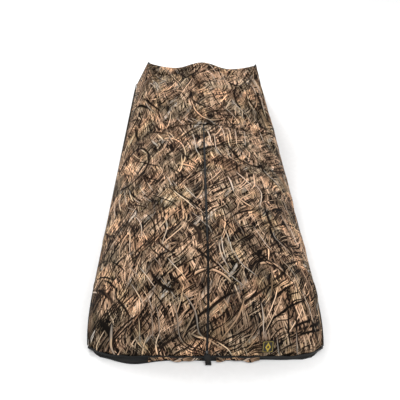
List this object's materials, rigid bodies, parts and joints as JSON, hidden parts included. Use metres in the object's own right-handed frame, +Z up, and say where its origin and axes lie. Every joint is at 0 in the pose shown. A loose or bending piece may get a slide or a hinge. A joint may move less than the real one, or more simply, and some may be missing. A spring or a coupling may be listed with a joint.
{
  "type": "layout field blind",
  "caption": "Low folding ground blind with an arched camouflage cloth shell, two side-hinged doors, a flip-back head cover and a padded backrest.",
  "frame": {"origin": "on the ground at the middle of the footprint", "axes": "+Y towards the head end, +X to the right seen from the foot end, +Z up"},
  "size_m": [0.876, 2.08, 0.464],
  "materials": {
    "camo_fabric": "printed woven polyester in a dry reed pattern, matt",
    "black_fabric": "black binding and zip tape",
    "floor_fabric": "coated waterproof cloth, slight sheen",
    "frame_tube": "dark olive powder coat",
    "spring_steel": "oiled spring steel",
    "hinge_plastic": "black moulded nylon",
    "pin_steel": "zinc plated",
    "foot_rubber": "moulded rubber",
    "pad_fabric": "olive padded nylon",
    "zip_plastic": "black moulded zip slider",
    "label_fabric": "dark woven patch"
  },
  "bodies": {
    "head_half": {"head_rail_left": "frame_tube", "head_rail_right": "frame_tube", "head_hinge_left": "hinge_plastic", "head_hinge_right": "hinge_plastic", "rear_foot_left": "foot_rubber", "rear_foot_right": "foot_rubber", "mid_foot_left": "foot_rubber", "mid_foot_right": "foot_rubber", "head_skirt_left": "camo_fabric", "head_skirt_right": "camo_fabric", "side_panel_left": "camo_fabric", "side_panel_right": "camo_fabric", "hip_panel_left": "camo_fabric", "hip_panel_right": "camo_fabric", "rear_rail": "frame_tube", "seat_bar": "frame_tube", "head_floor": "floor_fabric", "rear_skirt": "camo_fabric", "rear_panel": "camo_fabric"},
    "foot_half": {"foot_rail_left": "frame_tube", "foot_rail_right": "frame_tube", "foot_hinge_left": "hinge_plastic", "foot_hinge_right": "hinge_plastic", "hinge_pin_left": "pin_steel", "hinge_pin_right": "pin_steel", "toe_foot_left": "foot_rubber", "toe_foot_right": "foot_rubber", "foot_skirt_left": "camo_fabric", "foot_skirt_right": "camo_fabric", "foot_bag_left": "camo_fabric", "foot_bag_right": "camo_fabric", "end_rail": "frame_tube", "foot_floor": "floor_fabric", "seat_pad": "pad_fabric", "foot_hem": "black_fabric", "foot_zip": "black_fabric", "side_label": "label_fabric"},
    "left_door": {"door_panel_left": "camo_fabric", "door_rod_left": "spring_steel", "door_bow_foot_left": "spring_steel", "door_bow_hip_left": "spring_steel", "door_piping_left": "black_fabric"},
    "right_door": {"door_panel_right": "camo_fabric", "door_rod_right": "spring_steel", "door_bow_foot_right": "spring_steel", "door_bow_hip_right": "spring_steel", "door_piping_right": "black_fabric"},
    "head_cover": {"head_cover": "camo_fabric"},
    "backrest": {"back_tube_left": "frame_tube", "back_tube_right": "frame_tube", "corner_tip_left": "hinge_plastic", "corner_tip_right": "hinge_plastic", "top_bar": "frame_tube", "backrest_pad": "pad_fabric", "headrest": "pad_fabric"},
    "backrest_prop": {"backrest_prop": "spring_steel"},
    "foot_hoop": {"foot_hoop": "spring_steel"},
    "zip_slider": {"zip_slider": "zip_plastic", "zip_pull": "zip_plastic"}
  },
  "joints": [
    {"name": "frame_fold", "type": "hinge", "parent": "head_half", "child": "foot_half", "pos_m": [0, 0, 0.056], "axis": [1, 0, 0], "range_deg": [-178, 0], "deforming": ["side_panel_left", "side_panel_right", "hip_panel_left", "hip_panel_right", "foot_bag_left", "foot_bag_right", "door_panel_left", "door_panel_right", "door_bow_foot_left", "door_bow_foot_right", "door_bow_hip_left", "door_bow_hip_right", "door_piping_left", "door_piping_right", "rear_panel", "head_cover", "foot_zip"]},
    {"name": "left_door_open", "type": "hinge", "parent": "foot_half", "child": "left_door", "pos_m": [-0.422, 0, 0.06], "axis": [0, -1, 0], "range_deg": [0, 135]},
    {"name": "right_door_open", "type": "hinge", "parent": "foot_half", "child": "right_door", "pos_m": [0.422, 0, 0.06], "axis": [0, 1, 0], "range_deg": [0, 135]},
    {"name": "head_cover_flip", "type": "hinge", "parent": "backrest", "child": "head_cover", "pos_m": [0, 0.458, 0.452], "axis": [-1, 0, 0], "range_deg": [0, 200]},
    {"name": "backrest_fold", "type": "hinge", "parent": "head_half", "child": "backrest", "pos_m": [0, 0.062, 0.025], "axis": [1, 0, 0], "range_deg": [-44.25, 0]},
    {"name": "prop_fold", "type": "hinge", "parent": "backrest", "child": "backrest_prop", "pos_m": [0, 0.34538, 0.27868], "axis": [1, 0, 0], "range_deg": [0, 88.49]},
    {"name": "foot_hoop_fold", "type": "hinge", "parent": "foot_half", "child": "foot_hoop", "pos_m": [0, -0.745, 0.052], "axis": [1, 0, 0], "range_deg": [0, 90]},
    {"name": "zip_slide", "type": "hinge", "parent": "foot_half", "child": "zip_slider", "pos_m": [0, -0.745, 0.012], "axis": [-1, 0, 0], "range_deg": [0, 80]}
  ],
  "couplings": [
    {"joint": "backrest_fold", "follows": "frame_fold", "ratio": 0.24857},
    {"joint": "prop_fold", "follows": "frame_fold", "ratio": -0.49712},
    {"joint": "foot_hoop_fold", "follows": "frame_fold", "ratio": -0.50561}
  ]
}
